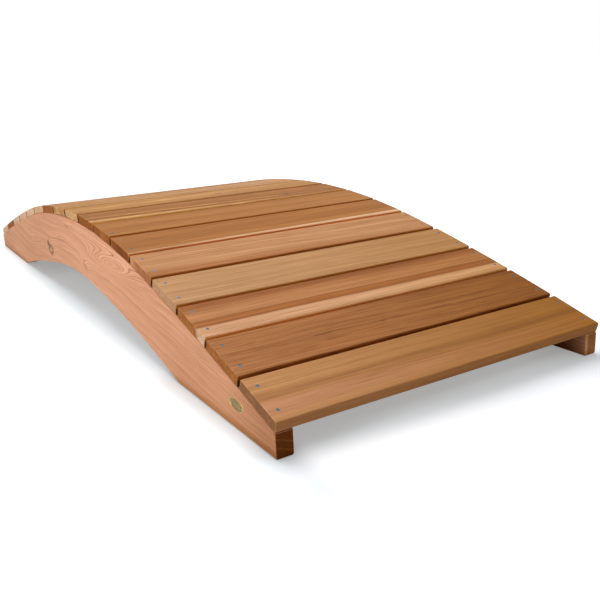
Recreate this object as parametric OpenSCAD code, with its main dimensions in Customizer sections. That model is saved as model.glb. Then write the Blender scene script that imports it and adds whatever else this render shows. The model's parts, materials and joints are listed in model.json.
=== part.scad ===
// Arched garden bridge: two arched side beams carry a deck of boards laid across them.
// +X runs along the walkway towards the near end, +Y across it to the right-hand beam's side, +Z up.
// The origin is on the ground under the middle of the deck. Lengths are in millimetres.

/* [Deck boards] */
// Number of boards in the deck
plank_count = 17; // [13:1:25]
// Width of a board, along the walkway
plank_w = 138; // [110:1:160]
// Thickness of a board
plank_t = 25; // [16:0.5:32]
// Length of a board, across the walkway
plank_len = 872; // [600:1:1200]
// Open joint between neighbouring boards
plank_gap = 8.9; // [4:0.1:16]
// Radius that eases the long edges of a board
plank_edge_r = 4; // [1:0.5:7]
// Clearance between a board and the curve it is screwed down on
seat_clear = 0.1; // [0.05:0.05:0.3]

/* [Deck curve] */
// Radius of the arc over the middle of the deck
crown_r = 2830; // [2400:10:3400]
// Half of the width that this arc spans
crown_half = 612; // [400:1:800]
// Radius of the flatter arcs that run down from it to the ends
haunch_r = 8540; // [5000:10:20000]

/* [Beams] */
// Thickness of a beam, across the walkway
beam_t = 38; // [25:1:60]
// How far the outer face of a beam stands proud of the boards' ends
beam_reveal = 2; // [0:0.5:10]
// Height of a beam at its square-cut ends
beam_end_h = 52.4; // [30:0.1:90]
// Radius that eases the lower edges of a beam's feet
foot_edge_r = 4; // [1:0.5:10]

/* [Arch under a beam] */
// Clear distance between the two feet of a beam
arch_span = 1570; // [1100:1:1800]
// Radius of the arc at the top of the arch
arch_crown_r = 1670; // [1200:10:2600]
// Half of the width that this arc spans
arch_crown_half = 178; // [100:1:300]
// Radius of the flatter arcs that run down from it to the feet
arch_haunch_r = 4560; // [3000:10:9000]

/* [Hidden] */
// Facets of a full circle, enough to keep the long arcs true
$fn = 1440;
// Degrees in one radian
degrees = 180 / PI;
// How far a cut or a blank runs past the face that it trims
cut_over = 2;

// Lean of the deck where its crown arc ends, and the length of half that arc
crown_lean = asin(crown_half / crown_r);
crown_path = crown_r * crown_lean / degrees;

// Spacing of the boards along the curve, and half the length of the whole deck along it
plank_pitch = plank_w + plank_gap;
deck_half_path = (plank_count * plank_pitch - plank_gap) / 2;

// A beam ends where the last board ends, stands out past the boards' ends by its reveal, and has the
// height that its square-cut ends give it
beam_half = curve_point(deck_half_path)[0];
beam_offset = (plank_len - beam_t) / 2 + beam_reveal;
crest_h = beam_end_h - curve_point(deck_half_path)[1];
arch_rise = curve_drop(arch_crown_r, arch_crown_half, arch_haunch_r, arch_span / 2);

// Colours of the wood, from pale sapwood to dark heartwood
beam_tone = "#cf9a78";
plank_tones = ["#b98a58", "#a06b41", "#b5794f", "#c29a68", "#c08e68"];

function plank_name(i) = str(i < 10 ? "plank_0" : "plank_", i);

// Lean of the deck, in degrees, at the distance s from its middle along the curve
function lean(s) =
    abs(s) <= crown_path
        ? s / crown_r * degrees
        : sign(s) * (crown_lean + (abs(s) - crown_path) / haunch_r * degrees);

// Centre of the arc on the +X side, measured from the top of a curve with the given arcs
function flank_centre(r, half, flank_r) =
    let (a = asin(half / r))
    [(r - flank_r) * sin(a), (r - flank_r) * cos(a) - r];

// Point of the deck curve, as [x, height against its top], at the distance s from its middle
function curve_point(s) =
    let (c = flank_centre(crown_r, crown_half, haunch_r))
    abs(s) <= crown_path
        ? [crown_r * sin(lean(s)), crown_r * (cos(lean(s)) - 1)]
        : [sign(s) * c[0] + haunch_r * sin(lean(s)), c[1] + haunch_r * cos(lean(s))];

// How far a curve with the given arcs has dropped from its top at the distance x from its middle
function curve_drop(r, half, flank_r, x) =
    let (c = flank_centre(r, half, flank_r))
    -c[1] - sqrt(pow(flank_r, 2) - pow(x - c[0], 2));

// Area under a three-centred curve, out to half_len on both sides and down to the height low
module under_curve(r, half, flank_r, half_len, top, low) {
    intersection() {
        translate([0, top - r])
            circle(r);
        translate([-half, low])
            square([2 * half, top - low]);
    }
    under_flank(r, half, flank_r, half_len, top, low);
    mirror([1, 0])
        under_flank(r, half, flank_r, half_len, top, low);
}

// The part of that area on the +X side, under the flatter arc
module under_flank(r, half, flank_r, half_len, top, low) {
    intersection() {
        translate(flank_centre(r, half, flank_r) + [0, top])
            circle(flank_r);
        translate([half, low])
            square([half_len - half, top - low]);
    }
}

// Side outline of a beam: the deck curve above, the arch cut out below
module beam_outline() {
    difference() {
        under_curve(crown_r, crown_half, haunch_r, beam_half, crest_h, -cut_over);
        under_curve(arch_crown_r, arch_crown_half, arch_haunch_r, arch_span / 2, arch_rise, -2 * cut_over);
    }
}

// Section of the plank that a beam is cut from, with its lower edges eased
module beam_section() {
    translate([-beam_t / 2, foot_edge_r])
        square([beam_t, crest_h + cut_over - foot_edge_r]);
    translate([foot_edge_r - beam_t / 2, 0])
        square([beam_t - 2 * foot_edge_r, crest_h]);
    for (side = [-1, 1])
        translate([side * (beam_t / 2 - foot_edge_r), foot_edge_r])
            circle(foot_edge_r);
}

// A beam over the X axis, standing on its two feet
module beam() {
    color(beam_tone)
        intersection() {
            rotate([90, 0, 0])
                linear_extrude(beam_t + 2 * cut_over, center = true)
                    beam_outline();
            rotate([90, 0, 90])
                linear_extrude(2 * (beam_half + cut_over), center = true)
                    beam_section();
        }
}

module left_beam() {
    translate([0, -beam_offset, 0])
        beam();
}

module right_beam() {
    translate([0, beam_offset, 0])
        beam();
}

// Section of a board with all four long edges eased, standing on the X axis
module plank_section() {
    translate([-plank_w / 2, plank_edge_r])
        square([plank_w, plank_t - 2 * plank_edge_r]);
    translate([plank_edge_r - plank_w / 2, 0])
        square([plank_w - 2 * plank_edge_r, plank_t]);
    for (side = [-1, 1], height = [plank_edge_r, plank_t - plank_edge_r])
        translate([side * (plank_w / 2 - plank_edge_r), height])
            circle(plank_edge_r);
}

// Board number i from the near end, laid tangent to the deck curve
module plank(i) {
    s = ((plank_count + 1) / 2 - i) * plank_pitch;
    color(plank_tones[i % len(plank_tones)])
        translate([curve_point(s)[0], 0, crest_h + curve_point(s)[1]])
            rotate([0, lean(s), 0])
                translate([0, 0, seat_clear])
                    rotate([90, 0, 0])
                        linear_extrude(plank_len, center = true)
                            plank_section();
}

left_beam();
right_beam();
for (i = [1 : plank_count])
    plank(i);
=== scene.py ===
"""Looks of an arched garden bridge: cedar boards screwed down on two arched cedar beams."""

import json
import math
import random
from dataclasses import dataclass
from typing import NamedTuple

import bmesh
import bpy
import numpy as np
from bpy.props import FloatProperty, FloatVectorProperty, IntProperty, PointerProperty
from mathutils import Matrix, Vector


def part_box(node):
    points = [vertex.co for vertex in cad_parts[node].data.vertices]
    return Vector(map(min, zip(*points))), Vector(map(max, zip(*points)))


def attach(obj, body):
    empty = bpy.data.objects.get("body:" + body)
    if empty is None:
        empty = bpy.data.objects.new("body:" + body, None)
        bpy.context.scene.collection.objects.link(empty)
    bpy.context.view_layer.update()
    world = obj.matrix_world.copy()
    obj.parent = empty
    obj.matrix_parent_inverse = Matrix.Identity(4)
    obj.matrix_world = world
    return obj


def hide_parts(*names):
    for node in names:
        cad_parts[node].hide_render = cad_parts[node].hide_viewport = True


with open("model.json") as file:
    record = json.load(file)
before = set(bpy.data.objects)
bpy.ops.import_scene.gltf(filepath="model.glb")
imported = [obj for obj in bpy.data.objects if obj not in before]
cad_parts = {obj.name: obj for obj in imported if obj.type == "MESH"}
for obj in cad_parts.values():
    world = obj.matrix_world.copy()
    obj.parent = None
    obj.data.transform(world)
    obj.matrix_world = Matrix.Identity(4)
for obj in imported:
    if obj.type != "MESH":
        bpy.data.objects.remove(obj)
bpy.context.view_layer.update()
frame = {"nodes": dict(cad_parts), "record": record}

bl_info = {
    "name": "Arched Garden Bridge",
    "version": (1, 0, 0),
    "blender": (4, 5, 0),
    "location": "View3D > Sidebar > Bridge",
    "description": "Dresses a low arched plank bridge in cedar, screws and a brass plate",
    "category": "Object",
}

BODY = "root"
BEAMS = ("left_beam", "right_beam")
BOARDS = sorted(name for name in frame["nodes"] if name.startswith("plank_"))
LEVEL_BOARD = BOARDS[len(BOARDS) // 2]
SLOTS = {row["node"]: row["material_slot"] for row in frame["record"]["subparts"]}
WHITE = (1.0, 1.0, 1.0, 1.0)


def extent(node):
    """Size of a node's box along X, Y and Z."""
    low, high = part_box(node)
    return high - low


def paint(code):
    """Scene-linear colour of a six-digit sRGB code."""
    parts = [int(code[i:i + 2], 16) / 255 for i in (0, 2, 4)]
    return [p / 12.92 if p <= 0.04045 else ((p + 0.055) / 1.055) ** 2.4 for p in parts]


def length(name, description, default):
    """A property that holds a length in metres."""
    return FloatProperty(name=name, description=description, default=default, precision=4, unit="LENGTH")


def angle(name, description, degrees):
    """A property that holds an angle, given in degrees."""
    return FloatProperty(name=name, description=description, default=math.radians(degrees), subtype="ANGLE")


def strength(name, description, default):
    """A property that holds the strength of a light or a glow."""
    return FloatProperty(name=name, description=description, default=default, min=0.0)


def colour(name, description, code):
    """A property that holds a colour, given as an sRGB code."""
    return FloatVectorProperty(
        name=name, description=description, default=paint(code), size=3, min=0.0, max=1.0, subtype="COLOR"
    )


class BridgeSizes(bpy.types.PropertyGroup):
    """Sizes of the pieces. Overall sizes come from the frame."""

    board_ease: length("Board easing", "Radius of the boards' long edges", 0.004)
    end_ease: length("Board end easing", "Radius of the edges round a board's ends", 0.0014)
    arris: length("Arris", "Sanded radius of the beams' cut edges", 0.0012)
    end_play: length("End play", "Most that a board is cut short at one end", 0.0008)
    cup: length("Cup", "Most that the long edges of a board curl down", 0.0005)
    crown_r: length("Deck crown radius", "Radius of the arc over the middle of the deck", 2.83)
    crown_half: length("Deck crown half width", "Half of the width that this arc spans", 0.612)
    haunch_r: length("Deck haunch radius", "Radius of the arcs that run down to the ends", 8.54)
    arch_half: length("Arch half span", "Half of the clear distance between a beam's feet", 0.785)
    arch_crown_r: length("Arch crown radius", "Radius of the arc at the top of the arch", 1.67)
    arch_crown_half: length("Arch crown half width", "Half of the width that this arc spans", 0.178)
    arch_haunch_r: length("Arch haunch radius", "Radius of the arcs that run down to the feet", 4.56)
    foot_ease: length("Foot easing", "Radius of the lower edges of a beam's feet", 0.004)
    screw_head: length("Screw head", "Diameter of a deck screw's head", 0.0078)
    screw_inset: length("Screw inset", "Distance of the screws from a board's end", 0.0195)
    screw_apart: length("Screw spacing", "Distance between the two screws at a board's end", 0.077)
    tag_long: length("Plate length", "Length of the oval brass plate", 0.060)
    tag_tall: length("Plate height", "Height of the oval brass plate", 0.026)
    tag_thick: length("Plate thickness", "Thickness of the plate's rim, which is let in flush", 0.0014)
    tag_from_end: length("Plate from end", "Distance of the plate's middle from the beam's near end", 0.151)
    tag_up: length("Plate above ground", "Height of the plate's middle above the ground", 0.0535)


class BridgeTones(bpy.types.PropertyGroup):
    """Colours of the wood, the screws and the plate."""

    umber: colour("Umber", "Dark brown heartwood", "9b5d2e")
    russet: colour("Russet", "Reddish brown heartwood", "a76835")
    toffee: colour("Toffee", "Brown streaks in tan wood", "a36b3a")
    amber: colour("Amber", "Orange-brown band beside the sapwood", "ac6930")
    fawn: colour("Fawn", "Brown with some grey", "ac713a")
    honey: colour("Honey", "Golden tan wood", "b57b43")
    rose: colour("Rose", "Pinkish brown wood", "bb7e4d")
    tan: colour("Tan", "Light yellowish tan wood", "c89462")
    blush: colour("Blush", "Pale pink-orange wood", "d5966a")
    cream: colour("Cream", "Pale stripe in tan wood", "cfa06f")
    sapwood: colour("Sapwood", "Pale outer wood", "d6a176")
    salmon: colour("Salmon", "Face of the beams", "d79a74")
    chestnut: colour("Chestnut", "Greyish brown end grain", "8f6241")
    rust: colour("Rust", "Dark orange-brown end grain", "8f5122")
    bark: colour("Bark", "Darkest end grain", "753d14")
    bisque: colour("Bisque", "Pale end grain", "dbb292")
    oat: colour("Oat", "Greyish tan end grain", "bd8f69")
    clay: colour("Clay", "Pinkish brown end grain", "a96b45")
    apricot: colour("Apricot", "Orange tan wood", "cc9466")
    shell: colour("Shell", "Whitish edge of a board", "e8bc9a")
    steel: colour("Steel", "Coated deck screws", "31607a")
    brass: colour("Brass", "Oval plate", "bfa45c")


class BridgeStage(bpy.types.PropertyGroup):
    """Camera, floor and lights."""

    camera_at: FloatVectorProperty(
        name="Camera place", description="Where the camera stands", default=(2.2610, -1.0025, 0.6448),
        unit="LENGTH",
    )
    azimuth: angle("Camera azimuth", "Side that the camera looks from, 0 along +Y", 58.883)
    elevation: angle("Camera elevation", "How far the camera looks down", 16.375)
    roll: angle("Camera roll", "How far the camera leans", -2.612)
    lens: FloatProperty(
        name="Lens", description="Focal length for a 36 mm sensor", default=44.23, unit="CAMERA"
    )
    floor_white: strength("Floor glow", "White that the floor shows under the arch besides its light", 0.32)
    ambient: strength("Ambient", "Light from all round", 0.25)
    sky_power: strength("Skylight", "Strength of each of the three skylights", 0.68)
    sky_spread: angle("Skylight spread", "Part of the sky that each skylight takes up", 44.0)
    left_power: FloatProperty(
        name="Left light", description="Power of the light on the left", default=51.0, unit="POWER"
    )
    seed: IntProperty(name="Seed", description="Start of the random draws", default=17)


class Shader:
    """The nodes of one material or world."""

    # How far the noise is moved along each axis from one seed to the next
    seed_step = (3.7, 5.3, 7.1)

    def __init__(self, owner):
        owner.use_nodes = True
        self.owner = owner
        self.tree = owner.node_tree
        self.tree.nodes.clear()

    def put(self, socket, value):
        """Links a socket, or sets a plain value."""
        if isinstance(value, bpy.types.NodeSocket):
            self.tree.links.new(value, socket)
        else:
            socket.default_value = value

    def node(self, kind, inputs=None, **settings):
        """Adds a node with its settings, and fills its inputs by name or number."""
        made = self.tree.nodes.new(kind)
        for key, value in settings.items():
            setattr(made, key, value)
        for key, value in (inputs or {}).items():
            self.put(made.inputs[key], value)
        return made

    def point(self):
        """The shaded point in the object's own axes."""
        return self.node("ShaderNodeTexCoord").outputs["Object"]

    def parts(self, vector):
        """The X, Y and Z of a vector."""
        return self.node("ShaderNodeSeparateXYZ", {0: vector}).outputs

    def combine(self, x, y, z):
        """A vector from three values."""
        return self.node("ShaderNodeCombineXYZ", {0: x, 1: y, 2: z}).outputs[0]

    def math(self, operation, first, second=0.0, third=0.0):
        """Result of a math node."""
        made = self.node("ShaderNodeMath", {0: first, 1: second, 2: third}, operation=operation)
        return made.outputs[0]

    def total(self, first, *rest):
        """Sum of several values."""
        for value in rest:
            first = self.math("ADD", first, value)
        return first

    def product(self, first, *rest):
        """Product of several values."""
        for value in rest:
            first = self.math("MULTIPLY", first, value)
        return first

    def diagonal(self, first, second):
        """Distance that two distances at a right angle make."""
        return self.math("SQRT", self.total(*(self.math("POWER", side, 2.0) for side in (first, second))))

    def vector(self, operation, first, second, third=(0.0, 0.0, 0.0)):
        """Result of a vector math node."""
        made = self.node("ShaderNodeVectorMath", {0: first, 1: second, 2: third}, operation=operation)
        return made.outputs[0]

    def measure(self, operation, first, second):
        """Result of a vector math node that gives one value."""
        made = self.node("ShaderNodeVectorMath", {0: first, 1: second}, operation=operation)
        return made.outputs["Value"]

    def noise(self, point, stretch, seed, detail=2.0, rough=0.5):
        """Noise from 0 to 1 with so many waves to the metre along each axis."""
        moved = self.vector("MULTIPLY_ADD", point, stretch, [seed * step for step in self.seed_step])
        made = self.node(
            "ShaderNodeTexNoise", {"Vector": moved, "Scale": 1.0, "Detail": detail, "Roughness": rough}
        )
        return made.outputs["Fac"]

    def swing(self, noise, width):
        """Noise as a swing of the given width about 0."""
        return self.math("MULTIPLY_ADD", noise, width, -width / 2)

    def ramp(self, factor, stops):
        """Colour ramp through (place, colour) stops."""
        stops = [*stops, (1.0, stops[-1][1])]
        made = self.node("ShaderNodeValToRGB", {"Fac": factor})
        elements = made.color_ramp.elements
        while len(elements) < len(stops):
            elements.new(0.5)
        for element, (place, shade) in zip(elements, stops):
            element.position = place
            element.color = solid(shade)
        return made.outputs["Color"]

    def span(self, value, low, high, to_low=0.0, to_high=1.0):
        """Value carried over smoothly from one range to another."""
        made = self.node(
            "ShaderNodeMapRange",
            {0: value, 1: low, 2: high, 3: to_low, 4: to_high},
            interpolation_type="SMOOTHSTEP",
        )
        return made.outputs[0]

    def steps(self, value, rows):
        """Sum of several spans of one value."""
        return self.total(*(self.span(value, *row) for row in rows))

    def mix(self, factor, first, second):
        """Mix of two colours."""
        return self.node("ShaderNodeMix", {0: factor, 6: first, 7: second}, data_type="RGBA").outputs[2]

    def surface(self, inputs):
        """Ends the material in one principled shader."""
        shader = self.node("ShaderNodeBsdfPrincipled", inputs)
        self.node("ShaderNodeOutputMaterial", {"Surface": shader.outputs[0]})
        return self.owner


def solid(tone):
    """A tone with full cover."""
    return (*tone, 1.0)


def shaded(tone, by):
    """A tone made darker, more in blue than in red."""
    return [c * f for c, f in zip(tone, (by, by ** 1.25, by ** 1.5))]


def painted_edge_tint(share):
    """Painted light and shade on a long edge that is about so light against its face, and browner."""
    return tuple(share * part for part in (1.25, 0.96, 0.4))


class Knot(NamedTuple):
    """A knot: its place and half size across and along the grain, its turn in degrees and its wood."""

    at: tuple
    size: tuple
    turn: float = 0.0
    wood: str = "pale"


class Swirl(NamedTuple):
    """A bend in the grain: its place and half size across and along, and how far it pushes the grain."""

    at: tuple
    size: tuple
    lift: float


class Vein(NamedTuple):
    """A dark thread, or a pale one if its depth is below 0: share across, half width, depth, last place."""

    at: float
    half: float
    depth: float
    stop: float = None


class Side(NamedTuple):
    """How strongly the grain and the gloss show on one side of a piece."""

    coarse: float
    grain: float
    gloss: float


FACE = Side(coarse=1.0, grain=1.0, gloss=0.12)
END = Side(coarse=1.3, grain=1.6, gloss=0.02)


@dataclass
class Cut:
    """How one piece of cedar was cut from its log. Lengths are in metres."""

    # Tone names with their places across the long faces and across the ends, and the seed of the grain
    tones: str
    ends: str
    seed: int
    # Sway of the grain to the side, its slant to one side, and the painted light falloff (how much lighter
    # the face is painted), per metre along
    drift: float = 0.006
    slope: float = 0.0
    fade: float = 0.0
    # Heart of the log across and into the piece, its slant, a ring's width and the early wood's share
    pith: tuple = (0.25, -0.1)
    tilt: float = 0.02
    ring: float = 0.0035
    early: float = 0.35
    # Heart across, heart into the piece and ring width on the ends, where they differ
    end_rings: tuple = None
    # Weight and tint of the latewood, contrast of the streaks, flecks, and tremble as a share of the sway
    grain: float = 0.25
    late: tuple = (0.62, 0.49, 0.38)
    coarse: float = 1.0
    fleck: float = 0.1
    shake: float = 0.12
    # Tint of the whole face, painted light and shade on a board's long edge, and painted shade on that
    # edge's lower half at the ends, where the joint between boards is dark
    cast: tuple = (1.0, 1.0, 1.0)
    edge: tuple = painted_edge_tint(1.0)
    painted_notch_shade: float = 0.2
    # How far a board's two ends stand past the others'
    proud: tuple = (0.0, 0.0)
    # Marks in the wood
    knots: tuple = ()
    swirls: tuple = ()
    veins: tuple = ()
    # Place and half size of the part with the boldest rings
    figured: tuple = None
    # Spans along the piece: latewood that fades, lightness of the face, and painted shade on the inner side
    calm: tuple = ()
    stains: tuple = ()
    inside: tuple = ()
    # Span of a painted highlight through the thickness of an end, on the arris that catches the light
    painted_arris_highlight: tuple = None


# Which of X, Y and Z run along the grain, across the face and into the wood
BOARD_AXES = (1, 0, 2)
BEAM_AXES = (0, 2, 1)

# Noise in the wood, as waves to the metre across, along and into it, then detail and roughness.
# A layer's place in the list is added to the seed of its cut.
LAYERS = {
    "wander": ((3.0, 1.7, 3.0), 1.0),
    "ripple": ((14.0, 5.0, 14.0), 1.0),
    "tremble": ((60.0, 22.0, 60.0), 1.0),
    "blotch": ((11.0, 2.6, 11.0), 2.0),
    "band": ((55.0, 1.1, 40.0), 2.0),
    "streak": ((190.0, 2.6, 110.0), 3.0, 0.65),
    "fine": ((430.0, 9.0, 300.0), 3.0, 0.7),
    "dash": ((360.0, 11.0, 200.0), 1.0),
    "patch": ((9.0, 6.0, 9.0), 1.0),
    "break": ((20.0, 12.0, 20.0), 1.0),
    "ragged": ((70.0, 45.0, 70.0), 2.0),
}
# Swing in lightness that the layers give, and how red, green and blue follow lightness and the painted light
# falloff
STREAKS, FINE_GRAIN, BANDS, BLOTCHES = 0.95, 0.8, 0.42, 0.24
WARMTH = (0.9, 1.15, 1.6)
PAINTED_FALLOFF_TINT = (0.75, 1.05, 2.4)
# Relief of latewood, fine grain and streaks, the wood's roughness, and what fine grain and latewood add
LATE_RELIEF, FINE_RELIEF, STREAK_RELIEF = 0.1, 0.5, 0.8
ROUGH, FINE_ROUGH, LATE_ROUGH = 0.60, 0.12, -0.06
# Ripple as a share of the sway, slant of the tones into the wood, and sway of the rings in years
RIPPLE, SLANT, YEAR_SWAY = 0.5, 0.35, 1.6
# Place in a year's ring where its latewood is darkest
LATE_PEAK = 0.92
# Spans: latewood by the noise of the bands and by the distance from the boldest rings, flecks by noise
LATE_BANDS = (0.3, 0.65, 0.4, 1.0)
BOLD_RINGS = (0.5, 1.4, 1.0, 0.5)
FLECKS = (0.60, 0.72)
# Veins: spans of the noise that breaks them up, share of their width at full depth, and length they end in
PATCHES, BREAKS = (0.38, 0.6, 0.3, 0.8), (0.52, 0.68, 0.0, 0.8)
VEIN_CORE, VEIN_TAPER = 0.25, 0.12
# Knots: raggedness, how wide and how far they bend the grain, and the span of their rim
KNOT_RAGGED, KNOT_BEND, KNOT_LIFT = 0.6, 0.6, 1.3
KNOT_RIM = (0.75, 1.25, 0.95, 0.0)
KNOT_WOOD = {
    "pale": "d8b392 0 c49a76 .3 80532f .5 9a6845 .8 b98560 1",
    "soft": "c8946f 0 b67d57 .45 c38b66 .8 cf9873 1",
    "line": "6e4021 0 7d4b28 .5 9a6238 1",
    "dark": "8a6246 0 7a5236 .5 5a3520 .75 8a5a38 1",
}
# Depth of the right beam's inner side, from its face to where its painted shade ends, about the middle plane
INNER_SIDE = (-0.019, -0.012)
# Painted light and shade on a board's long edge: how far in it starts and is full, its last stretch from the
# board's middle, the height over the middle plane where its lower half with painted shade ends, and the share
# of the face's painted light falloff that it lacks
EDGE_START, EDGE_FULL = 0.002, 0.0004
EDGE_ENDS = (0.423, 0.431)
EDGE_RISE = 0.008
EDGE_PAINTED_FALLOFF = -0.45


class Cedar(Shader):
    """Cedar of one cut. Its grain runs along the first of the axes, its tones lie across the second."""

    def __init__(self, name, cut, axes, low, wide):
        super().__init__(bpy.data.materials.new(name))
        self.cut, self.axes, self.low, self.wide = cut, axes, low, wide
        parts = self.parts(self.point())
        self.along, self.across, self.deep = (parts[axis] for axis in axes)
        self.raw = self.combine(self.across, self.along, self.deep)
        self.wander = self.layer("wander", self.raw)
        self.place = self.total(
            self.across,
            self.swing(self.wander, 2 * cut.drift),
            self.swing(self.layer("ripple", self.raw), RIPPLE * cut.drift),
            self.swing(self.layer("tremble", self.raw), cut.shake * cut.drift),
            self.product(self.along, cut.slope),
            self.product(self.deep, SLANT),
        )
        ragged = self.swing(self.layer("ragged", self.raw), KNOT_RAGGED)
        self.knots = [
            (self.total(self.reach(knot.at, knot.size, knot.turn), ragged), knot) for knot in cut.knots
        ]
        self.year_place = self.bent()

    def layer(self, name, point):
        """One layer of noise."""
        stretch, *texture = LAYERS[name]
        return self.noise(point, stretch, self.cut.seed + list(LAYERS).index(name), *texture)

    def reach(self, at, size, turn=0.0):
        """Distance from a spot in units of its own size, with its long axis turned away from the grain."""
        gap = self.vector("SUBTRACT", self.combine(self.across, self.along, 0.0), (*at, 0.0))
        c, n = math.cos(math.radians(turn)), math.sin(math.radians(turn))
        axes = ((c / size[0], n / size[0], 0.0), (-n / size[1], c / size[1], 0.0))
        return self.diagonal(*(self.measure("DOT_PRODUCT", gap, axis) for axis in axes))

    def bent(self):
        """Place across the wood, with the grain bent by swirls and round knots."""
        bends = [(self.reach(swirl.at, swirl.size), swirl.lift) for swirl in self.cut.swirls]
        bends += [(self.product(far, KNOT_BEND), KNOT_LIFT * knot.size[0]) for far, knot in self.knots]
        place = self.place
        for far, lift in bends:
            hill = self.math("EXPONENT", self.product(far, far, -1.0))
            place = self.math("MULTIPLY_ADD", hill, lift, place)
        return place

    def latewood(self, band, side):
        """How much of the dark wood of a year's end a point has, from 0 to 1."""
        cut = self.cut
        pith_across, pith_deep, ring = (*cut.pith, cut.ring)
        if side is END and cut.end_rings:
            pith_across, pith_deep, ring = cut.end_rings
        out = self.math("SUBTRACT", self.year_place, pith_across)
        up = self.math("SUBTRACT", self.math("MULTIPLY_ADD", self.along, -cut.tilt, self.deep), pith_deep)
        rings = self.product(self.diagonal(out, up), 1 / ring)
        year = self.math("FRACT", self.total(rings, self.swing(self.wander, YEAR_SWAY)))
        late = self.product(
            self.span(year, cut.early, LATE_PEAK),
            self.span(year, LATE_PEAK, 1.0, 1.0, 0.0),
            self.span(band, *LATE_BANDS),
        )
        if cut.figured:
            late = self.product(late, self.span(self.reach(*cut.figured), *BOLD_RINGS))
        return self.product(late, *(self.span(self.along, *calm) for calm in cut.calm))

    def marked(self, light):
        """Lightness of a long face with its veins, its stains and the painted shade on its inner side."""
        cut = self.cut
        patchy = self.total(
            self.span(self.layer("patch", self.raw), *PATCHES),
            self.span(self.layer("break", self.raw), *BREAKS),
        )
        for vein in cut.veins:
            off = self.math("ABSOLUTE", self.math("SUBTRACT", self.place, self.low + vein.at * self.wide))
            thread = self.product(
                self.span(off, VEIN_CORE * vein.half, vein.half, -vein.depth, 0.0), patchy
            )
            if vein.stop:
                taper = (vein.stop - VEIN_TAPER, vein.stop + VEIN_TAPER, 1.0, 0.0)
                thread = self.product(thread, self.span(self.along, *taper))
            light = self.product(light, self.total(thread, 1.0))
        light = self.product(light, *(self.span(self.along, *stain) for stain in cut.stains))
        if cut.inside:
            # Painted shade on the inner side, darkest near the end under the first board
            dim = self.steps(self.along, cut.inside)
            light = self.product(light, self.span(self.deep, *INNER_SIDE, dim, 1.0))
        return light

    def painted_edges(self, base):
        """Colour of a board with painted light and shade on its long edge, and the distance its painted
        falloff goes by.
        """
        cut, half = self.cut, self.wide / 2
        edge = self.span(self.across, half - EDGE_START, half - EDGE_FULL)
        at_end = self.span(self.math("ABSOLUTE", self.along), *EDGE_ENDS)
        # Painted shade on the lower half of the long edge near the ends, where the joint between boards is
        # dark
        dim = self.product(at_end, self.span(self.deep, 0.0, EDGE_RISE, cut.painted_notch_shade - 1.0, 0.0))
        shades = [self.math("MULTIPLY_ADD", dim, share, share - 1.0) for share in cut.edge]
        tint = self.combine(*(self.math("MULTIPLY_ADD", edge, shade, 1.0) for shade in shades))
        painted_falloff_reach = self.product(self.along, self.math("MULTIPLY_ADD", edge, EDGE_PAINTED_FALLOFF, 1.0))
        return self.vector("MULTIPLY", base, tint), painted_falloff_reach

    def finish(self, stops, side):
        """Ends the material, with tone stops across the wood, for the long faces or for the ends."""
        cut = self.cut
        tone = self.ramp(self.math("MULTIPLY_ADD", self.place, 1 / self.wide, -self.low / self.wide), stops)
        point = self.combine(self.year_place, self.along, self.deep)
        names = ("blotch", "band", "streak", "fine", "dash")
        blotch, band, streak, fine, dash = (self.layer(name, point) for name in names)
        late = self.latewood(band, side)
        coarse = cut.coarse * side.coarse
        light = self.total(
            1.0,
            self.swing(streak, STREAKS * coarse),
            self.swing(fine, FINE_GRAIN * coarse),
            self.swing(band, BANDS * coarse),
            self.swing(blotch, BLOTCHES),
            self.span(dash, *FLECKS, 0.0, -cut.fleck),
        )
        if side is FACE:
            light = self.marked(light)
        elif cut.painted_arris_highlight:
            # Painted highlight on the arris of an end
            light = self.product(light, self.span(self.deep, *cut.painted_arris_highlight))
        base = self.vector(
            "MULTIPLY", tone, self.combine(*(self.math("POWER", light, power) for power in WARMTH))
        )
        # Distance along that the painted light falloff goes by; a board's long edges take less of it
        painted_falloff_reach = self.along
        if self.axes == BOARD_AXES:
            base, painted_falloff_reach = self.painted_edges(base)
        # Painted light falloff along the face: lighter towards one end, and bluer where it is painted lighter
        if side is FACE:
            fade = [
                self.math("MULTIPLY_ADD", painted_falloff_reach, cut.fade * share * cast, cast)
                for share, cast in zip(PAINTED_FALLOFF_TINT, cut.cast)
            ]
            base = self.vector("MULTIPLY", base, self.combine(*fade))
        dark = self.vector("MULTIPLY", base, cut.late)
        base = self.mix(self.product(late, min(1.0, cut.grain * side.grain)), base, dark)
        for far, knot in self.knots:
            base = self.mix(self.span(far, *KNOT_RIM), base, self.ramp(far, knot_stops(knot.wood)))
        height = self.total(
            self.product(late, LATE_RELIEF),
            self.product(fine, FINE_RELIEF),
            self.product(streak, STREAK_RELIEF),
        )
        bump = self.node("ShaderNodeBump", {"Height": height, "Strength": 0.35, "Distance": 0.0006})
        rough = self.total(ROUGH, self.product(fine, FINE_ROUGH), self.product(late, LATE_ROUGH))
        return self.surface({
            "Base Color": base,
            "Roughness": rough,
            "Specular IOR Level": side.gloss,
            "Normal": bump.outputs[0],
        })


def knot_stops(wood):
    """Ramp stops of a knot's wood, from its heart to its rim."""
    parts = KNOT_WOOD[wood].split()
    return [(float(place), paint(code)) for code, place in zip(parts[::2], parts[1::2])]


def tone_stops(words, tones):
    """Ramp stops from tone names, each followed by its place, with 0 and 1 as the first and last place."""
    parts = words.split()
    stops = []
    for at, word in enumerate(parts):
        if word.startswith("."):
            continue
        follows = parts[at + 1] if at + 1 < len(parts) else "1"
        place = 0.0 if at == 0 else float(follows) if follows[0] in ".1" else 1.0
        stops.append((place, getattr(tones, word)))
    return stops


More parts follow.
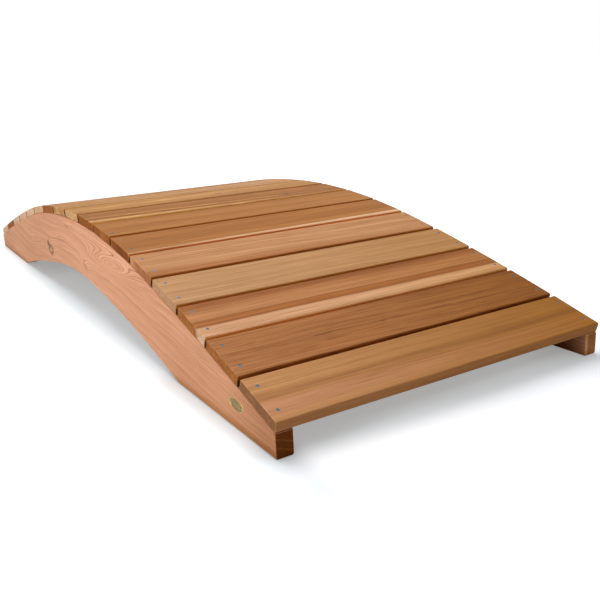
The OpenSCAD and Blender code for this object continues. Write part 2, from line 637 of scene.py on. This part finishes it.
def cedar(node, cut, tones, axes, low, wide):
    """The two materials of a piece of cedar: its long faces and its ends."""
    return [
        Cedar(f"{node}_face", cut, axes, low, wide).finish(tone_stops(cut.tones, tones), FACE),
        Cedar(f"{node}_end", cut, axes, low, wide).finish(tone_stops(cut.ends, tones), END),
    ]


# Long edges with only a slight painted tint and no painted shade at the ends
SLIGHT_PAINTED_EDGE = {"edge": (1.0, 1.0, 0.9), "painted_notch_shade": 1.0}
BOARD_CUTS = [
    Cut("honey honey .4 fawn .47 toffee .53 fawn .6 rose .68 rose .84 honey", "chestnut", 1, 0.007,
        fade=-0.74, grain=0.2, coarse=0.68, edge=(0.97, 0.85, 0.82), painted_notch_shade=1.0, cast=(1.0, 1.02, 1.04),
        veins=[Vein(0.54, 0.007, 0.03), Vein(0.3, 0.004, 0.05)], proud=(0.002, 0.0)),
    Cut("umber russet .12 russet .5 russet", "russet", 2, 0.003, slope=-0.024, fade=-0.72, ring=0.0026,
        early=0.5, grain=0.9, coarse=1.35, pith=(0.3, -0.08), fleck=0.3, shake=0.9, edge=painted_edge_tint(0.62),
        cast=(1.02, 1.07, 1.06), veins=[Vein(0.597, 0.003, 0.22)], proud=(0.0019, -0.0012),
        knots=[Knot((0.004, -0.201), (0.0022, 0.036), 1.5, "line"),
               Knot((0.0094, -0.045), (0.0026, 0.012), wood="line"),
               Knot((0.011, 0.11), (0.0016, 0.04), wood="line"),
               Knot((0.014, 0.245), (0.0024, 0.012), wood="line"),
               Knot((0.016, 0.314), (0.0022, 0.008), wood="line")]),
    Cut("umber umber .14 rose .34 rose .55 umber .59 amber .65 umber .74 sapwood .78 sapwood",
        "russet russet .66 bisque .76 bisque", 3, 0.003, fade=-0.28, edge=(1.4, 1.15, 0.6),
        cast=(1.07, 1.06, 1.0), proud=(0.0014, -0.0012)),
    Cut("tan", "oat", 4, fade=-0.25, grain=0.14, coarse=0.8, cast=(0.98, 0.97, 0.95),
        veins=[Vein(0.66, 0.010, 0.07)], proud=(0.0011, 0.0)),
    Cut("apricot apricot .31 sapwood .35 apricot .39 apricot .66 sapwood .70 apricot .74 apricot .84 "
        "rose .97 rose", "clay blush .15 clay .4 clay", 5, slope=-0.03, fade=-0.03, grain=0.2,
        edge=painted_edge_tint(0.72), cast=(0.99, 0.94, 0.86), proud=(0.0009, -0.0032),
        veins=[Vein(0.365, 0.003, -0.14), Vein(0.72, 0.004, -0.06), Vein(0.52, 0.012, 0.04)]),
    Cut("fawn fawn .70 amber .72 honey .76 honey .892 russet .927 shell .952 shell", "rust bark .5 rust",
        6, 0.002, slope=0.016, fade=0.06, edge=(1.12, 0.6, 0.28), cast=(1.02, 0.96, 0.8),
        veins=[Vein(0.545, 0.003, 0.18), Vein(0.66, 0.003, 0.16)], proud=(0.0008, -0.0028)),
    Cut("fawn honey .4 fawn .6 honey", "rust rust .3 russet .5 rust", 7, fade=0.15,
        edge=(1.1, 0.72, 0.22), cast=(1.02, 0.98, 0.83), proud=(-0.0004, 0.0)),
    Cut("russet fawn .3 fawn .6 fawn .8 tan", "rust", 8, slope=-0.03, fade=0.22, coarse=1.5,
        edge=(1.5, 1.2, 0.55), cast=(0.92, 0.885, 0.68), proud=(-0.0006, 0.0),
        veins=[Vein(0.68, 0.007, -0.75, 0.3), Vein(0.80, 0.007, 0.5, 0.3), Vein(0.95, 0.010, -0.45, 0.1)],
        knots=[Knot((0.019, 0.226), (0.008, 0.010), wood="dark")]),
    Cut("fawn honey .2 honey .75 fawn", "cream", 9, fade=0.2, grain=0.22, coarse=1.5, edge=painted_edge_tint(0.7),
        cast=(1.1, 1.21, 1.2), veins=[Vein(0.51, 0.032, -0.3, 0.05)],
        knots=[Knot((0.011, 0.055), (0.006, 0.012), wood="dark")]),
    Cut("cream tan .15 honey .3 tan .5 honey .8 tan", "honey cream .4 honey .6 tan", 10, fade=0.5,
        grain=0.22, coarse=1.8, edge=painted_edge_tint(0.6), cast=(1.0, 1.03, 1.04)),
    Cut("honey russet .3 fawn .7 tan", "umber", 11, grain=0.3, edge=painted_edge_tint(0.8), painted_notch_shade=0.6),
    Cut("blush tan .3 blush .6 cream", "bisque cream .5 bisque", 12, grain=0.2, **SLIGHT_PAINTED_EDGE),
    Cut("honey tan .35 sapwood .42 sapwood .55 tan .62 honey", "bisque", 13, grain=0.2, **SLIGHT_PAINTED_EDGE),
    Cut("blush sapwood .3 blush .7 tan", "bisque", 14, grain=0.18, **SLIGHT_PAINTED_EDGE),
    Cut("tan honey .4 tan .8 honey", "bisque", 15, grain=0.2, **SLIGHT_PAINTED_EDGE),
    Cut("umber russet .4 umber .6 russet", "umber", 16, grain=0.4, pith=(-0.01, -0.04), tilt=0.05,
        edge=painted_edge_tint(0.6)),
    Cut("tan tan .5 honey .6 tan .7 honey", "bisque", 17, grain=0.2, **SLIGHT_PAINTED_EDGE),
]
BEAM_CUTS = {
    "left_beam": Cut(
        "rose salmon .04 salmon", "bark bark .03 rust .05 bark .06 bark .11 rust .12 bark .13 bark", 31,
        0.014, pith=(-0.6, 0.0), tilt=0.0, ring=0.0075, early=0.7, end_rings=(-0.02, 0.05, 0.004),
        grain=1.0, late=(0.64, 0.38, 0.24), coarse=0.75, shake=0.2,
        swirls=[Swirl((0.200, 0.375), (0.025, 0.14), 0.058), Swirl((0.196, 0.22), (0.020, 0.13), 0.026),
                Swirl((0.21, -0.10), (0.030, 0.14), -0.020), Swirl((0.16, 0.10), (0.02, 0.05), 0.022),
                Swirl((0.10, -0.62), (0.06, 0.2), 0.03), Swirl((0.1, 1.3), (0.4, 0.7), 0.1)],
        knots=[Knot((0.133, -0.318), (0.021, 0.036)), Knot((0.150, -0.345), (0.010, 0.016), wood="dark"),
               Knot((0.249, -0.065), (0.006, 0.030), wood="soft"),
               Knot((0.150, 0.10), (0.008, 0.022), 25.0, "soft")],
        figured=((0.20, 0.16), (0.085, 0.5)), calm=[(-0.75, -0.4, 0.45, 1.0), (0.9, 1.1, 1.0, 0.7)],
        stains=[(-0.5, 0.2, 0.91, 1.06), (0.42, 0.95, 1.0, 0.92), (1.0, 1.2, 1.0, 0.70)],
    ),
    "right_beam": Cut(
        "rose salmon .1 salmon", "russet rose .1 russet .19 russet", 32, 0.02, pith=(-0.6, 0.0), tilt=0.0,
        ring=0.009, early=0.6, end_rings=(-0.03, -0.04, 0.004), grain=0.8, late=(0.60, 0.42, 0.32),
        coarse=0.5, fleck=0.05, shake=0.4, swirls=[Swirl((0.18, -0.25), (0.035, 0.22), 0.07)],
        inside=[(1.05, 1.14, 0.62, 0.32), (1.145, 1.225, 0.0, 0.68)], painted_arris_highlight=(-0.017, -0.006, 2.1, 1.0),
    ),
}


def linked(name, data):
    """A new object in the scene."""
    made = bpy.data.objects.new(name, data)
    bpy.context.scene.collection.objects.link(made)
    return made


def loft(name, rings, materials):
    """Closed skin over rings of points. The two end faces take the second material."""
    count = len(rings[0])
    mesh = bpy.data.meshes.new(name)
    build = bmesh.new()
    rows = [[build.verts.new(p) for p in ring] for ring in rings]
    for row, nxt in zip(rows, rows[1:]):
        for j in range(count):
            k = (j + 1) % count
            build.faces.new((row[j], row[k], nxt[k], nxt[j]))
    for row in (rows[0], rows[-1]):
        build.faces.new(row).material_index = 1
    bmesh.ops.recalc_face_normals(build, faces=build.faces)
    for face in build.faces:
        face.smooth = True
    build.to_mesh(mesh)
    build.free()
    for material in materials:
        mesh.materials.append(material)
    return linked(name, mesh)


def joined(name, parts, material):
    """One object from many (points, faces) parts."""
    points, faces = [], []
    for part_points, part_faces in parts:
        start = len(points)
        points.extend(part_points)
        faces.extend([[start + i for i in face] for face in part_faces])
    mesh = bpy.data.meshes.new(name)
    mesh.from_pydata(points, [], faces)
    mesh.shade_smooth()
    mesh.materials.append(material)
    return linked(name, mesh)


def ringed(rings):
    """Points and faces of stacked rings that end in a face at either end."""
    count = len(rings[0])
    points = [p for ring in rings for p in ring]
    faces = [list(range(count))[::-1], [len(points) - count + j for j in range(count)]]
    for i in range(len(rings) - 1):
        for j in range(count):
            k = (j + 1) % count
            faces.append([i * count + j, i * count + k, (i + 1) * count + k, (i + 1) * count + j])
    return points, faces


def turns(count):
    """Angles that divide a full turn evenly."""
    return [2 * math.pi * i / count for i in range(count)]


def circle(radius, height, count, middle=(0.0, 0.0)):
    """Ring of points round an upright axis."""
    x, y = middle
    return [(x + radius * math.cos(t), y + radius * math.sin(t), height) for t in turns(count)]


def settle(piece, slot, *nodes):
    """Smooths a finished piece and fixes it to the bridge, in place of the nodes that it stands for."""
    piece.modifiers.new("Weighted normals", "WEIGHTED_NORMAL").keep_sharp = True
    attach(piece, BODY)
    if nodes:
        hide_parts(*nodes)


def carve(piece, parts):
    """Cuts (points, faces) parts out of a piece, in the piece's own coordinates."""
    cutter = joined("cutter", parts, piece.data.materials[0])
    cutter.matrix_world = piece.matrix_world
    cut = piece.modifiers.new("Cut", "BOOLEAN")
    cut.operation = "DIFFERENCE"
    cut.solver = "EXACT"
    cut.object = cutter
    bpy.context.view_layer.update()
    depsgraph = bpy.context.evaluated_depsgraph_get()
    mesh = bpy.data.meshes.new_from_object(piece.evaluated_get(depsgraph))
    piece.modifiers.remove(cut)
    piece.data = mesh
    bpy.data.objects.remove(cutter)


def eased_ring(left, right, bottom, top, low_ease, top_ease, rows, columns, steps=5):
    """Points round a rectangle with eased corners, as (across, up), with spare points along its sides."""
    def arc(cx, cy, radius, start):
        angles = [math.radians(start + 90 * i / steps) for i in range(steps + 1)]
        return [(cx + radius * math.cos(t), cy + radius * math.sin(t)) for t in angles]

    corners = [
        arc(left + low_ease, bottom + low_ease, low_ease, 180),
        arc(right - low_ease, bottom + low_ease, low_ease, 270),
        arc(right - top_ease, top - top_ease, top_ease, 0),
        arc(left + top_ease, top - top_ease, top_ease, 90),
    ]
    points = []
    for at, corner in enumerate(corners):
        following = corners[(at + 1) % len(corners)]
        spare = columns if at % 2 == 0 else rows
        points += corner
        points += [tuple(p) for p in np.linspace(corner[-1], following[0], spare + 1)[1:-1]]
    return points


def board_place(node):
    """Matrix of a board: X across it towards the near end, Y along it, Z out of its face, from its middle."""
    mesh = frame["nodes"][node].data
    faces = [face for face in mesh.polygons if face.normal.z > 0.5]
    face = max(faces, key=lambda f: f.area)
    up = Vector((face.normal.x, 0.0, face.normal.z)).normalized()
    across = Vector((up.z, 0.0, -up.x))
    middle = Vector()
    for axis in (across, up):
        reach = [axis.dot(v.co) for v in mesh.vertices]
        middle += axis * (min(reach) + max(reach)) / 2
    matrix = Matrix((across, Vector((0.0, 1.0, 0.0)), up)).transposed().to_4x4()
    matrix.translation = middle
    return matrix


def screw_spots(sizes):
    """The four places of a board's screws, as (across, along)."""
    out = extent(LEVEL_BOARD).y / 2 - sizes.screw_inset
    return [(a * sizes.screw_apart / 2, b * out) for b in (-1, 1) for a in (-1, 1)]


class BRIDGE_OT_deck(bpy.types.Operator):
    """Lay the cedar boards of the deck"""

    bl_idname = "bridge.deck"
    bl_label = "Lay the deck boards"

    # Seat of a screw's head, as (share of its radius, height over the board's face)
    seat = ((1.02, -0.0012), (1.02, -0.0006), (1.25, 0.0004))
    seat_sides = 24
    # Stretches of a board's length, and steps of its round ends
    stretches = 24
    end_steps = 4

    def execute(self, context):
        sizes, tones = context.scene.bridge_sizes, context.scene.bridge_tones
        draw = random.Random(context.scene.bridge_stage.seed)
        size = extent(LEVEL_BOARD)
        for node, cut in zip(BOARDS, BOARD_CUTS):
            materials = cedar(node, cut, tones, BOARD_AXES, -size.x / 2, size.x)
            board = loft(f"{node}_board", self.rings(size, sizes, cut, draw), materials)
            board.matrix_world = board_place(node)
            carve(board, self.screw_seats(size, sizes))
            settle(board, SLOTS[node], node)
        return {"FINISHED"}

    def rings(self, size, sizes, cut, draw):
        """Rings of a board from one end to the other, cut a little short and slightly cupped."""
        start = -size.y / 2 - cut.proud[0] + draw.uniform(0, sizes.end_play)
        stop = size.y / 2 + cut.proud[1] - draw.uniform(0, sizes.end_play)
        cup = draw.uniform(-sizes.cup, 0)
        angles = [math.radians(90 * i / self.end_steps) for i in range(self.end_steps + 1)]
        round_end = [
            (sizes.end_ease * (1 - math.sin(t)), sizes.end_ease * (1 - math.cos(t))) for t in angles
        ]
        places = [(start + back, inset) for back, inset in reversed(round_end)]
        places += [(start + (stop - start) * i / self.stretches, 0.0) for i in range(1, self.stretches)]
        places += [(stop - back, inset) for back, inset in round_end]
        rings = []
        for y, inset in places:
            half, tall, ease = size.x / 2 - inset, size.z / 2 - inset, sizes.board_ease
            ring = eased_ring(-half, half, -tall, tall, ease, ease, rows=2, columns=8)
            rings.append([(x, y, z + cup * (2 * x / size.x) ** 2) for x, z in ring])
        return rings

    def screw_seats(self, size, sizes):
        """The shallow seats of the screw heads in a board's face, as parts to cut out."""
        radius, top = sizes.screw_head / 2, size.z / 2
        return [
            ringed([circle(radius * share, top + rise, self.seat_sides, spot) for share, rise in self.seat])
            for spot in screw_spots(sizes)
        ]


def three_centred(x, r, half, flank_r):
    """Drop of a three-centred curve below its top at the distance x from its middle."""
    x = abs(x)
    if x <= half:
        return r - math.sqrt(r * r - x * x)
    turn = math.asin(half / r)
    cx, cz = (r - flank_r) * math.sin(turn), (r - flank_r) * math.cos(turn) - r
    return -cz - math.sqrt(flank_r ** 2 - (x - cx) ** 2)


def oval(sizes, profile, sides=72):
    """Rings of the oval plate or of its seat, from (share of the oval, height off its back) pairs."""
    long, tall = sizes.tag_long / 2, sizes.tag_tall / 2
    return [
        [(long * share * math.cos(t), -rise, tall * share * math.sin(t)) for t in turns(sides)]
        for share, rise in profile
    ]


def plate_place(sizes):
    """Middle of the plate's back, which lies in its seat in the left beam's outer face."""
    low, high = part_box("left_beam")
    return Vector((high.x - sizes.tag_from_end, low.y + sizes.tag_thick, sizes.tag_up))


class BRIDGE_OT_beams(bpy.types.Operator):
    """Set up the two arched beams"""

    bl_idname = "bridge.beams"
    bl_label = "Set up the beams"

    # Rings along a beam, share of the plate's size that its seat has, and room behind the plate
    stations = 220
    seat_share = 1.02
    seat_room = 0.0001

    def execute(self, context):
        sizes, tones = context.scene.bridge_sizes, context.scene.bridge_tones
        for node in BEAMS:
            low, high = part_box(node)
            materials = cedar(node, BEAM_CUTS[node], tones, BEAM_AXES, low.z, high.z - low.z)
            beam = loft(f"{node}_timber", self.rings(low, high, sizes), materials)
            beam.location.y = (low.y + high.y) / 2
            bpy.context.view_layer.update()
            if node == "left_beam":
                carve(beam, [self.plate_seat(sizes, beam.location)])
            settle(beam, SLOTS[node], node)
        return {"FINISHED"}

    def rings(self, low, high, sizes):
        """Rings of a beam from its far end to its near end, about its own middle plane."""
        end, half = high.x, (high.y - low.y) / 2
        deck = (sizes.crown_r, sizes.crown_half, sizes.haunch_r)
        arch = (sizes.arch_crown_r, sizes.arch_crown_half, sizes.arch_haunch_r)
        arch_rise = three_centred(sizes.arch_half, *arch)
        rings = []
        for x in [-end, *np.linspace(-end + sizes.arris, end - sizes.arris, self.stations), end]:
            top = high.z - three_centred(x, *deck)
            bottom, ease = 0.0, sizes.foot_ease
            if abs(x) < sizes.arch_half:
                bottom, ease = arch_rise - three_centred(x, *arch), sizes.arris
            inset = sizes.arris if abs(x) == end else 0.0
            side = half - inset
            ring = eased_ring(
                -side, side, bottom + inset, top - inset, ease, sizes.arris, rows=12, columns=4
            )
            rings.append([(x, y, z) for y, z in ring])
        return rings

    def plate_seat(self, sizes, middle):
        """The shallow seat of the plate, as a part to cut out of a beam with the given middle."""
        at = plate_place(sizes) - middle
        profile = [(self.seat_share, -self.seat_room), (self.seat_share, 2 * sizes.tag_thick)]
        points, faces = ringed(oval(sizes, profile))
        return [at + Vector(p) for p in points], faces


class BRIDGE_OT_screws(bpy.types.Operator):
    """Drive the deck screws"""

    bl_idname = "bridge.screws"
    bl_label = "Drive the deck screws"

    sides = 24
    # Depth of a head's top under the board's face
    sunk = 0.0004
    # Rings of a flat head and of its square recess, as (share of the radius, height over the head's top)
    head = ((0.9, -0.0008), (1.0, -0.0003), (0.97, -0.00005), (0.88, 0.0), (0.6, 0.0))
    recess = ((0.36, 0.0), (0.33, -0.0002), (0.29, -0.0007))
    recess_floor = (0.12, -0.00075)

    def execute(self, context):
        sizes, tones = context.scene.bridge_sizes, context.scene.bridge_tones
        draw = random.Random(context.scene.bridge_stage.seed + 1)
        steel = self.coated_steel(tones)
        top = extent(LEVEL_BOARD).z / 2
        for side, name in ((-1, "left_screws"), (1, "right_screws")):
            parts = []
            for node in BOARDS:
                place = board_place(node)
                for x, y in screw_spots(sizes):
                    if y * side > 0:
                        at = place @ Matrix.Translation((x, y, top - self.sunk))
                        turn = at @ Matrix.Rotation(draw.uniform(0, math.pi), 4, "Z")
                        points, faces = ringed(self.rings(sizes.screw_head / 2))
                        parts.append(([turn @ Vector(p) for p in points], faces))
            screws = joined(name, parts, steel)
            settle(screws, "screw_steel")
        return {"FINISHED"}

    def rings(self, radius):
        """Rings of a head with its recess, from under the head to the floor of the recess."""
        rings = [circle(radius * share, rise, self.sides) for share, rise in self.head]
        rings += [self.square(radius * share, rise) for share, rise in self.recess]
        share, rise = self.recess_floor
        return [*rings, circle(radius * share, rise, self.sides)]

    def square(self, half, height):
        """Ring of points round a square."""
        reach = [half / max(abs(math.cos(t)), abs(math.sin(t))) for t in turns(self.sides)]
        return [(d * math.cos(t), d * math.sin(t), height) for d, t in zip(reach, turns(self.sides))]

    def coated_steel(self, tones):
        """Blue-grey coated steel with a mottled sheen."""
        s = Shader(bpy.data.materials.new("coated_steel"))
        mottle = s.noise(s.point(), (900.0, 900.0, 900.0), 3, 3.0)
        light, dark = solid(tones.steel), solid(shaded(tones.steel, 0.6))
        return s.surface({
            "Base Color": s.mix(s.span(mottle, 0.35, 0.7), light, dark),
            "Metallic": 0.45,
            "Coat Weight": 0.5,
            "Coat Roughness": 0.15,
            "Roughness": s.math("MULTIPLY_ADD", mottle, 0.2, 0.36),
        })


class BRIDGE_OT_plate(bpy.types.Operator):
    """Fix the bare oval plate to the left beam"""

    bl_idname = "bridge.plate"
    bl_label = "Fix the brass plate"

    # From the back over the raised rim to the sunken field, as shares of the oval and of the thickness
    profile = (
        (1.0, 0.0), (1.0, 0.55), (0.985, 0.85), (0.96, 1.0), (0.93, 1.0), (0.905, 0.85), (0.89, 0.5),
        (0.86, 0.42), (0.6, 0.5), (0.3, 0.55), (0.05, 0.56),
    )
    # Heights between which the brass turns from tarnished to bright, as shares of the thickness
    bright_from, bright_to = 0.6, 0.9

    def execute(self, context):
        sizes, tones = context.scene.bridge_sizes, context.scene.bridge_tones
        rings = oval(sizes, [(share, rise * sizes.tag_thick) for share, rise in self.profile])
        plate = joined("brass_plate", [ringed(rings)], self.brass(tones.brass, sizes.tag_thick))
        plate.location = plate_place(sizes)
        settle(plate, "tag_brass")
        return {"FINISHED"}

    def brass(self, tone, thick):
        """Satin brass, bright on the rim and tarnished in the sunken field."""
        s = Shader(bpy.data.materials.new("satin_brass"))
        point = s.point()
        height = s.product(s.parts(point)[1], -1.0)
        raised = s.span(height, self.bright_from * thick, self.bright_to * thick)
        cloud = s.noise(point, (160.0, 160.0, 160.0), 5, 4.0, 0.6)
        brushed = s.noise(point, (60.0, 60.0, 2400.0), 6, 2.0)
        tarnish = s.product(s.span(cloud, 0.3, 0.7, 0.6, 1.0), s.math("SUBTRACT", 1.0, raised))
        bright = s.mix(s.product(brushed, 0.3), solid(tone), solid(shaded(tone, 0.8)))
        return s.surface({
            "Base Color": s.mix(tarnish, bright, solid(shaded(tone, 0.3))),
            "Metallic": 0.8,
            "Roughness": s.math("MULTIPLY_ADD", cloud, 0.3, 0.25),
        })


FLOOR_COLOUR = (0.755, 0.835, 0.89, 1.0)
FLOOR_HALF = 40.0
FLOOR_DROP = 0.0003
# The floor's glow is a sum of smooth steps, each as (from, to, glow at from, glow at to) over a distance:
# away from a point under the arch, along the walkway, or aside from its middle line. Near the bridge these
# steps paint the shadow: its depth, and where its edges lie
GLOW_MIDDLE = (-0.5, 0.0, 0.0)
GLOW_NEAR, GLOW_NEAR_AT = 0.36, 0.85
GLOW_START, GLOW_FAR_AT = 0.3, 5.0
ALONG_GLOW = ((1.24, 1.50, 0.0, 0.22), (-0.65, -0.40, 0.0, 0.06), (0.50, 0.80, 0.0, -0.06))
ASIDE_GLOW = ((-0.56, -0.42, 0.36, 0.0), (0.47, 0.70, 0.0, 0.15))
# Steps aside and steps along that are multiplied, which paint shadow and light into the glow: painted contact
# shadows beside the near feet, and a painted shadow edge before the first board and under it
LEFT_FOOT_PAINTED_SHADOW = ((-0.53, -0.44, 0.0, -0.15), (-0.42, -0.36, 0.0, 0.11))
RIGHT_FOOT_PAINTED_SHADOW = ((0.2, 0.5, 0.0, -0.08), (0.46, 0.58, 0.0, 0.20))
PAINTED_SHADOW_GLOWS = (
    ((*LEFT_FOOT_PAINTED_SHADOW, *RIGHT_FOOT_PAINTED_SHADOW), ((0.66, 0.78), (1.08, 1.20, 0.0, 0.7))),
    (((-0.35, 0.20, 0.09, -0.07),), ((1.18, 1.24), (1.30, 1.36, 0.0, -1.0))),
    (((-0.36, -0.10),), ((1.15, 1.20, 0.0, 0.07), (1.20, 1.25, 0.0, -0.07))),
)
# Hue of the glow under the bridge, and the one that it turns to past the near end and on the right
COOL_HUE, WARM_HUE = (0.975, 0.995, 1.0, 1.0), (1.12, 1.0, 0.96, 1.0)
WARM_ALONG, WARM_ASIDE = (1.21, 1.29), (0.35, 0.6)
# Skylights, with how far each one leans to the near end for a metre up, and how far all lean to the right
SKYLIGHTS = {"front_light": 0.0, "middle_light": -0.4, "rear_light": -0.8}
SKY_ASIDE = 0.05
LEFT_LIGHT_AT = (0.35, -3.2, 1.1)
LEFT_LIGHT_SIZE = (2.4, 2.0)
SENSOR_MM = 36.0


class BRIDGE_OT_stage(bpy.types.Operator):
    """Set the floor, the lights and the camera"""

    bl_idname = "bridge.stage"
    bl_label = "Set the stage"

    def execute(self, context):
        stage = context.scene.bridge_stage
        context.scene.view_settings.view_transform = "Standard"
        floor = self.floor(stage)
        self.world(context.scene, stage)
        for name, lean in SKYLIGHTS.items():
            self.skylight(name, Vector((lean, SKY_ASIDE, 1.0)), stage)
        self.left_light(stage, floor)
        self.camera(context.scene, stage)
        return {"FINISHED"}

    def seen(self, s):
        """1 for rays that show the background: straight, mirrored or through glass."""
        path = s.node("ShaderNodeLightPath").outputs
        mirrored = s.math("MAXIMUM", path["Is Glossy Ray"], path["Is Transmission Ray"])
        return s.math("MAXIMUM", path["Is Camera Ray"], mirrored)

    def floor(self, stage):
        """A white floor that keeps the shadow, with a glow for the camera whose steps paint the shadow's
        depth and edges.
        """
        s = Shader(bpy.data.materials.new("white_floor"))
        matte = s.node("ShaderNodeBsdfDiffuse", {"Color": FLOOR_COLOUR})
        point = s.point()
        along, aside, _ = s.parts(point)
        away_glow = (
            (GLOW_START, GLOW_NEAR_AT, stage.floor_white, GLOW_NEAR),
            (GLOW_NEAR_AT, GLOW_FAR_AT, 0.0, 1.0 - GLOW_NEAR),
        )
        # Glow for the camera: white far from the bridge, with painted shadow depth and edges near it
        white = s.total(
            s.steps(s.measure("DISTANCE", point, GLOW_MIDDLE), away_glow),
            s.steps(aside, ASIDE_GLOW),
            s.steps(along, ALONG_GLOW),
            *(s.product(s.steps(aside, sides), s.steps(along, lengths)) for sides, lengths in PAINTED_SHADOW_GLOWS),
        )
        warm = s.math("MAXIMUM", s.span(along, *WARM_ALONG), s.span(aside, *WARM_ASIDE))
        glow = s.node("ShaderNodeEmission", {"Color": s.mix(warm, COOL_HUE, WARM_HUE), "Strength": white})
        both = s.node("ShaderNodeAddShader", {0: matte.outputs[0], 1: glow.outputs[0]})
        shown = s.node("ShaderNodeMixShader", {0: self.seen(s), 1: matte.outputs[0], 2: both.outputs[0]})
        s.node("ShaderNodeOutputMaterial", {"Surface": shown.outputs[0]})
        corners = [(FLOOR_HALF * x, FLOOR_HALF * y) for x, y in ((-1, -1), (1, -1), (1, 1), (-1, 1))]
        part = ([(x, y, -FLOOR_DROP) for x, y in corners], [[0, 1, 2, 3]])
        floor = joined("studio_floor", [part], s.owner)
        return floor

    def world(self, scene, stage):
        """Even light from all round, in front of a white background."""
        s = Shader(bpy.data.worlds.new("studio"))
        dim = s.node("ShaderNodeBackground", {"Color": WHITE, "Strength": stage.ambient})
        white = s.node("ShaderNodeBackground", {"Color": WHITE, "Strength": 1.0})
        shown = s.node("ShaderNodeMixShader", {0: self.seen(s), 1: dim.outputs[0], 2: white.outputs[0]})
        s.node("ShaderNodeOutputWorld", {"Surface": shown.outputs[0]})
        scene.world = s.owner

    def skylight(self, name, towards, stage):
        """A very wide soft light from far above."""
        data = bpy.data.lights.new(name, "SUN")
        data.energy = stage.sky_power
        data.angle = stage.sky_spread
        linked(name, data).rotation_euler = towards.to_track_quat("Z", "Y").to_euler()

    def left_light(self, stage, floor):
        """A wide soft light on the left that the floor doesn't take."""
        data = bpy.data.lights.new("left_light", "AREA")
        data.shape = "RECTANGLE"
        data.size, data.size_y = LEFT_LIGHT_SIZE
        data.energy = stage.left_power
        lamp = linked("left_light", data)
        lamp.location = LEFT_LIGHT_AT
        lamp.rotation_euler = Vector((0.0, 1.0, 0.0)).to_track_quat("-Z", "Y").to_euler()
        lamp.visible_camera = False
        unlit = bpy.data.collections.new("not_lit_from_the_left")
        unlit.objects.link(floor)
        lamp.light_linking.receiver_collection = unlit
        unlit.collection_objects[0].light_linking.link_state = "EXCLUDE"

    def camera(self, scene, stage):
        """The camera at the viewing angle, leaning by its roll."""
        a, e, roll = stage.azimuth, stage.elevation, stage.roll
        back = Vector((math.sin(a) * math.cos(e), -math.cos(a) * math.cos(e), math.sin(e)))
        level = Vector((math.cos(a), math.sin(a), 0.0))
        right = level * math.cos(roll) + back.cross(level) * math.sin(roll)
        data = bpy.data.cameras.new("camera")
        data.lens = stage.lens
        data.sensor_width = SENSOR_MM
        camera = linked("camera", data)
        matrix = Matrix((right, back.cross(right), back)).transposed().to_4x4()
        matrix.translation = stage.camera_at
        camera.matrix_world = matrix
        scene.camera = camera


class BRIDGE_PT_sidebar(bpy.types.Panel):
    """Steps and settings of the bridge"""

    bl_idname = "BRIDGE_PT_sidebar"
    bl_label = "Arched Garden Bridge"
    bl_space_type = "VIEW_3D"
    bl_region_type = "UI"
    bl_category = "Bridge"

    def draw(self, context):
        for operator in STEPS:
            self.layout.operator(operator.bl_idname)
        for name, group in SETTINGS.items():
            box = self.layout.box()
            for setting in group.__annotations__:
                box.prop(getattr(context.scene, name), setting)


SETTINGS = {"bridge_sizes": BridgeSizes, "bridge_tones": BridgeTones, "bridge_stage": BridgeStage}
STEPS = (BRIDGE_OT_stage, BRIDGE_OT_beams, BRIDGE_OT_deck, BRIDGE_OT_screws, BRIDGE_OT_plate)
CLASSES = (*SETTINGS.values(), *STEPS, BRIDGE_PT_sidebar)


def register():
    """Makes the settings, the steps and the panel known to Blender."""
    for known in CLASSES:
        bpy.utils.register_class(known)
    for name, group in SETTINGS.items():
        setattr(bpy.types.Scene, name, PointerProperty(type=group))


def unregister():
    """Takes them away again."""
    for name in SETTINGS:
        delattr(bpy.types.Scene, name)
    for known in reversed(CLASSES):
        bpy.utils.unregister_class(known)


def main():
    """Registers the add-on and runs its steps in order."""
    register()
    bpy.ops.bridge.stage()
    bpy.ops.bridge.beams()
    bpy.ops.bridge.deck()
    bpy.ops.bridge.screws()
    bpy.ops.bridge.plate()


if __name__ == "__main__":
    main()
